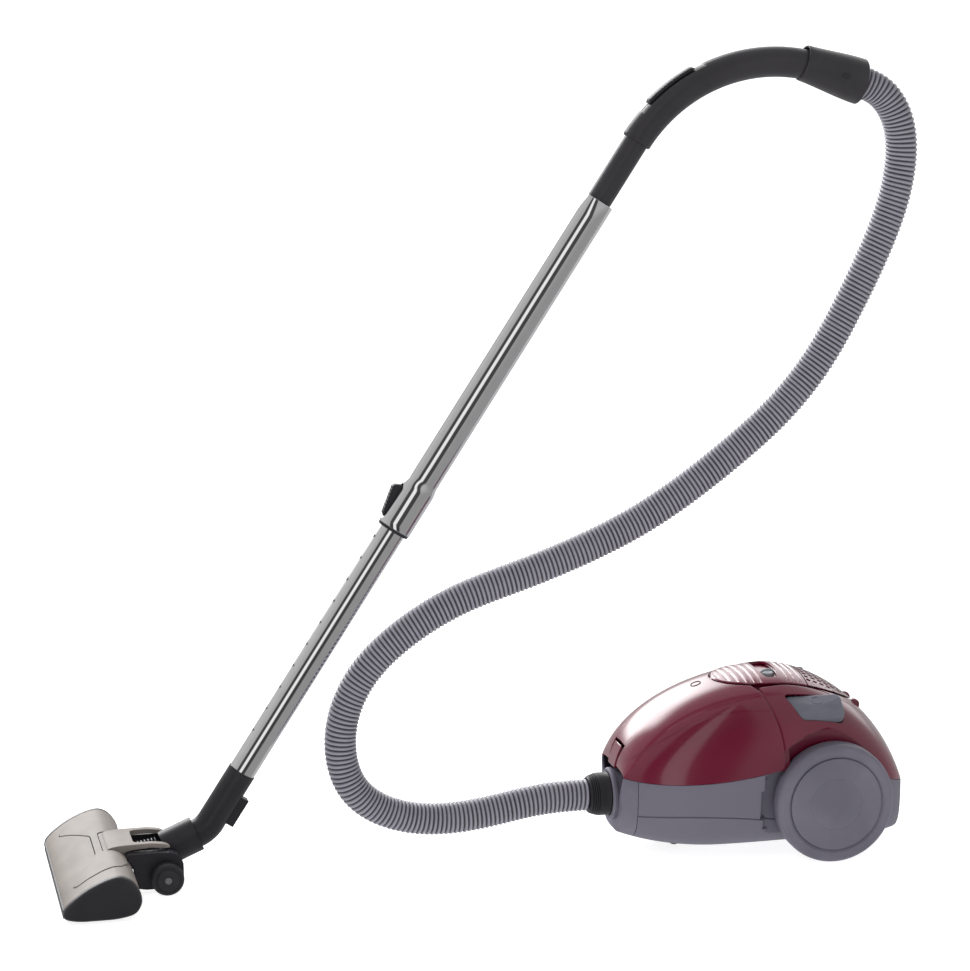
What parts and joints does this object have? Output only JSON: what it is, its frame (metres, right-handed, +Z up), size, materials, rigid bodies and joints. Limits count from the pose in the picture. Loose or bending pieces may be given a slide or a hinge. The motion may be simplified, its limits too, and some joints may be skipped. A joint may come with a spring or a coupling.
{
  "type": "canister vacuum cleaner",
  "caption": "Canister vacuum cleaner on big rear wheels with a hinged dust-bag lid, foot pedals, ribbed hose, curved grip, telescopic chrome wand and tilting floor head",
  "frame": {"origin": "on the floor, in the middle plane, midway between the floor head's front edge and the canister's rear end", "axes": "+X runs from the floor head towards the canister, +Z is up, +Y is the machine's left side seen from the canister towards the floor head"},
  "size_m": [1.0459, 0.27, 0.9676],
  "materials": {
    "burgundy_gloss": "glossy deep burgundy lacquer-like plastic with a clear top coat",
    "purple_grey": "fine-grained matte purple-grey plastic",
    "dark_plastic": "satin near-black plastic",
    "handle_plastic": "satin charcoal plastic with a soft moulded grain",
    "silver_plastic": "silver-grey painted plastic",
    "stone_plastic": "warm light grey plastic with a fine grain",
    "clear_window": "clear indicator window",
    "chrome_tube": "mirror-bright chromed steel tube",
    "steel": "plain bright steel",
    "zinc_can": "drawn zinc-plated steel",
    "copper_winding": "varnished copper windings on a stack of laminations",
    "hose_plastic": "silver-grey ribbed flexible hose",
    "tread_rubber": "soft dark tread",
    "bag_paper": "unbleached filter paper",
    "filter_foam": "pale filter fleece",
    "board_green": "green circuit laminate",
    "bristle": "black nylon bristles on a strip",
    "sole_metal": "brushed stainless sole plate"
  },
  "bodies": {
    "canister": {"lower_shell": "purple_grey", "nose_piece": "purple_grey", "rear_cover": "burgundy_gloss", "top_panel": "burgundy_gloss", "exhaust_grille": "burgundy_gloss", "inner_brackets": "dark_plastic", "pedal_springs": "steel", "axle_stubs": "steel", "caster_socket": "dark_plastic", "inlet_ring": "purple_grey", "dust_bag": "bag_paper", "bag_holder": "silver_plastic", "bulkhead": "dark_plastic", "motor_filter": "filter_foam", "fan_cover": "zinc_can", "motor_can": "zinc_can", "motor_stator": "copper_winding", "reel_spindle": "dark_plastic", "exhaust_filter": "filter_foam", "circuit_board": "board_green", "cord_outlet": "dark_plastic", "hose": "hose_plastic", "hose_end_ring": "dark_plastic"},
    "lid": {"lid": "burgundy_gloss", "bag_full_window": "clear_window", "lid_hinge_arms": "dark_plastic"},
    "latch": {"lid_latch": "burgundy_gloss"},
    "power_pedal": {"power_pedal": "purple_grey"},
    "rewind_pedal": {"rewind_pedal": "purple_grey"},
    "suction_knob": {"suction_knob": "silver_plastic"},
    "left_wheel": {"left_wheel": "purple_grey", "left_wheel_cap": "purple_grey"},
    "right_wheel": {"right_wheel": "purple_grey", "right_wheel_cap": "purple_grey"},
    "caster_fork": {"caster_fork": "dark_plastic"},
    "caster_wheel": {"caster_wheel": "tread_rubber"},
    "motor_rotor": {"motor_rotor": "copper_winding"},
    "cord_reel": {"cord_reel": "dark_plastic"},
    "hose_cuff": {"hose_cuff": "dark_plastic"},
    "handle": {"hose_end_housing": "handle_plastic", "grip_left_half": "handle_plastic", "grip_right_half": "handle_plastic", "air_duct": "dark_plastic", "upper_tube": "chrome_tube", "tube_guide": "dark_plastic"},
    "suction_slider": {"suction_slider": "dark_plastic"},
    "tube_latch_button": {"tube_latch_button": "dark_plastic"},
    "lower_wand": {"lower_tube": "chrome_tube", "elbow": "dark_plastic"},
    "neck": {"neck": "dark_plastic"},
    "floor_head": {"head_cover": "stone_plastic", "head_base": "dark_plastic", "sole_plate": "sole_metal", "head_end_caps": "dark_plastic", "head_axle": "steel", "neck_spring": "steel"},
    "floor_pedal": {"floor_pedal": "stone_plastic"},
    "brush_strips": {"brush_strips": "bristle"},
    "left_roller": {"left_roller": "tread_rubber"},
    "right_roller": {"right_roller": "tread_rubber"}
  },
  "joints": [
    {"name": "lid_hinge", "type": "hinge", "parent": "canister", "child": "lid", "pos_m": [0.3315, 0, 0.202], "axis": [0, 1, 0], "range_deg": [0, 60]},
    {"name": "lid_latch_pivot", "type": "hinge", "parent": "lid", "child": "latch", "pos_m": [0.1695, 0, 0.12468], "axis": [0, 1, 0], "range_deg": [0, 10], "stiffness_Nm_per_rad": 0.5, "springref_deg": -5.73},
    {"name": "power_pedal_press", "type": "slide", "parent": "canister", "child": "power_pedal", "axis": [0, 0.5592, -0.829], "range_m": [0, 0.0035], "stiffness_N_per_m": 1500, "springref_m": -0.001, "deforming": ["pedal_springs"]},
    {"name": "rewind_pedal_press", "type": "slide", "parent": "canister", "child": "rewind_pedal", "axis": [0, -0.5592, -0.829], "range_m": [0, 0.0035], "stiffness_N_per_m": 1500, "springref_m": -0.001, "deforming": ["pedal_springs"]},
    {"name": "suction_knob_slide", "type": "slide", "parent": "canister", "child": "suction_knob", "axis": [0, 1, 0], "range_m": [-0.006, 0.042]},
    {"name": "left_wheel_axle", "type": "hinge", "parent": "canister", "child": "left_wheel", "pos_m": [0.41025, 0.106, 0.073], "axis": [0, 1, 0], "continuous": true},
    {"name": "right_wheel_axle", "type": "hinge", "parent": "canister", "child": "right_wheel", "pos_m": [0.41025, -0.106, 0.073], "axis": [0, 1, 0], "continuous": true},
    {"name": "caster_swivel", "type": "hinge", "parent": "canister", "child": "caster_fork", "pos_m": [0.2335, 0, 0.03], "axis": [0, 0, 1], "continuous": true},
    {"name": "caster_axle", "type": "hinge", "parent": "caster_fork", "child": "caster_wheel", "pos_m": [0.2415, 0, 0.009], "axis": [0, 1, 0], "continuous": true},
    {"name": "motor_shaft", "type": "hinge", "parent": "canister", "child": "motor_rotor", "pos_m": [0.3985, 0.034, 0.10152], "axis": [1, 0, 0], "continuous": true},
    {"name": "cord_reel_spindle", "type": "hinge", "parent": "canister", "child": "cord_reel", "pos_m": [0.41025, -0.06, 0.10152], "axis": [0, 1, 0], "continuous": true},
    {"name": "hose_cuff_swivel", "type": "hinge", "parent": "canister", "child": "hose_cuff", "pos_m": [0.1635, 0, 0.06912], "axis": [1, 0, 0], "continuous": true},
    {"name": "handle_swivel", "type": "hinge", "parent": "canister", "child": "handle", "pos_m": [0.41271, 0, 0.93916], "axis": [0.9511, 0, -0.309], "range_deg": [-45, 45]},
    {"name": "suction_slider_slide", "type": "hinge", "parent": "handle", "child": "suction_slider", "pos_m": [0.35152, 0, 0.75085], "axis": [0, 1, 0], "range_deg": [-3, 3]},
    {"name": "tube_latch_press", "type": "slide", "parent": "handle", "child": "tube_latch_button", "axis": [0.8387, 0, -0.5446], "range_m": [0, 0.003], "stiffness_N_per_m": 800, "springref_m": -0.001},
    {"name": "tube_slide", "type": "slide", "parent": "handle", "child": "lower_wand", "axis": [0.5446, 0, 0.8387], "range_m": [0, 0.3]},
    {"name": "neck_swivel", "type": "hinge", "parent": "lower_wand", "child": "neck", "pos_m": [-0.34408, 0, 0.05558], "axis": [0.9205, 0, 0.3907], "range_deg": [-60, 60]},
    {"name": "head_tilt", "type": "hinge", "parent": "neck", "child": "floor_head", "pos_m": [-0.3855, 0, 0.019], "axis": [0, 1, 0], "range_deg": [-20, 8], "deforming": ["neck_spring"]},
    {"name": "left_roller_axle", "type": "hinge", "parent": "floor_head", "child": "left_roller", "pos_m": [-0.3855, 0.044, 0.019], "axis": [0, 1, 0], "continuous": true},
    {"name": "right_roller_axle", "type": "hinge", "parent": "floor_head", "child": "right_roller", "pos_m": [-0.3855, -0.044, 0.019], "axis": [0, 1, 0], "continuous": true},
    {"name": "floor_pedal_rock", "type": "hinge", "parent": "floor_head", "child": "floor_pedal", "pos_m": [-0.4625, 0, 0.045], "axis": [0, 1, 0], "range_deg": [0, 3]},
    {"name": "brush_lift", "type": "slide", "parent": "floor_head", "child": "brush_strips", "axis": [0, 0, 1], "range_m": [0, 0.0043]}
  ],
  "couplings": [
    {"joint": "brush_lift", "follows": "floor_pedal_rock", "m_per_rad": 0.08}
  ]
}
